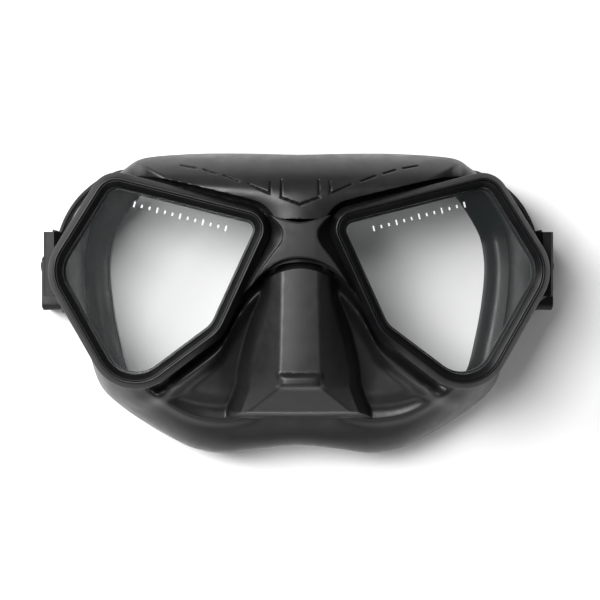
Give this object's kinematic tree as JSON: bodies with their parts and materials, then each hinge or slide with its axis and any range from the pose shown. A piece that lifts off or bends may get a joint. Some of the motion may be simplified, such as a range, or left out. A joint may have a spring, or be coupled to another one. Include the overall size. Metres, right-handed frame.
{
  "type": "diving mask",
  "caption": "Low-volume diving mask with paired tempered lenses in teardrop rims, a soft skirt with nose pocket, and a strap on swivelling buckles.",
  "frame": {"origin": "middle of the mask's outline in plan, on the table it lies on", "axes": "+Z out of the lenses, +Y towards the brow, +X to the right of someone looking at the lenses"},
  "size_m": [0.182, 0.1055, 0.0603],
  "materials": {
    "frame_plastic": "satin black moulded plastic",
    "soft_plastic": "soft matt black",
    "lens_glass": "clear tempered glass",
    "silicone": "satin black silicone",
    "buckle_plastic": "fine matt black",
    "pin_steel": "stainless, brushed",
    "strap_rubber": "matt black silicone strap"
  },
  "bodies": {
    "mask": {"frame": "frame_plastic", "bridge_cover": "soft_plastic", "lens_right": "lens_glass", "lens_left": "lens_glass", "lens_retainer_right": "frame_plastic", "lens_retainer_left": "frame_plastic", "skirt": "silicone", "frame_lug_right": "frame_plastic", "frame_lug_left": "frame_plastic", "swivel_pin_right": "pin_steel", "swivel_pin_left": "pin_steel"},
    "strap_set": {"strap": "strap_rubber", "strap_keeper_right": "strap_rubber", "strap_keeper_left": "strap_rubber", "buckle_body_right": "buckle_plastic", "buckle_body_left": "buckle_plastic", "lever_pin_right": "pin_steel", "lever_pin_left": "pin_steel"},
    "roller_right": {"strap_roller_right": "pin_steel"},
    "roller_left": {"strap_roller_left": "pin_steel"},
    "lever_right": {"release_lever_right": "buckle_plastic"},
    "lever_left": {"release_lever_left": "buckle_plastic"}
  },
  "joints": [
    {"name": "strap_swivel", "type": "hinge", "parent": "mask", "child": "strap_set", "pos_m": [0, 0.004, 0.0093], "axis": [-1, 0, 0], "range_deg": [0, 110]},
    {"name": "roller_right_spin", "type": "hinge", "parent": "strap_set", "child": "roller_right", "pos_m": [0.0881, 0.0124, 0.0093], "axis": [0, 0, 1], "continuous": true},
    {"name": "roller_left_spin", "type": "hinge", "parent": "strap_set", "child": "roller_left", "pos_m": [-0.0881, 0.0124, 0.0093], "axis": [0, 0, 1], "continuous": true},
    {"name": "lever_right_press", "type": "hinge", "parent": "strap_set", "child": "lever_right", "pos_m": [0.0884, 0.0034, 0.0093], "axis": [0, 0, 1], "range_deg": [-9, 0], "stiffness_Nm_per_rad": 0.05, "springref_deg": 2.86},
    {"name": "lever_left_press", "type": "hinge", "parent": "strap_set", "child": "lever_left", "pos_m": [-0.0884, 0.0034, 0.0093], "axis": [0, 0, 1], "range_deg": [0, 9], "stiffness_Nm_per_rad": 0.05, "springref_deg": -2.86}
  ]
}
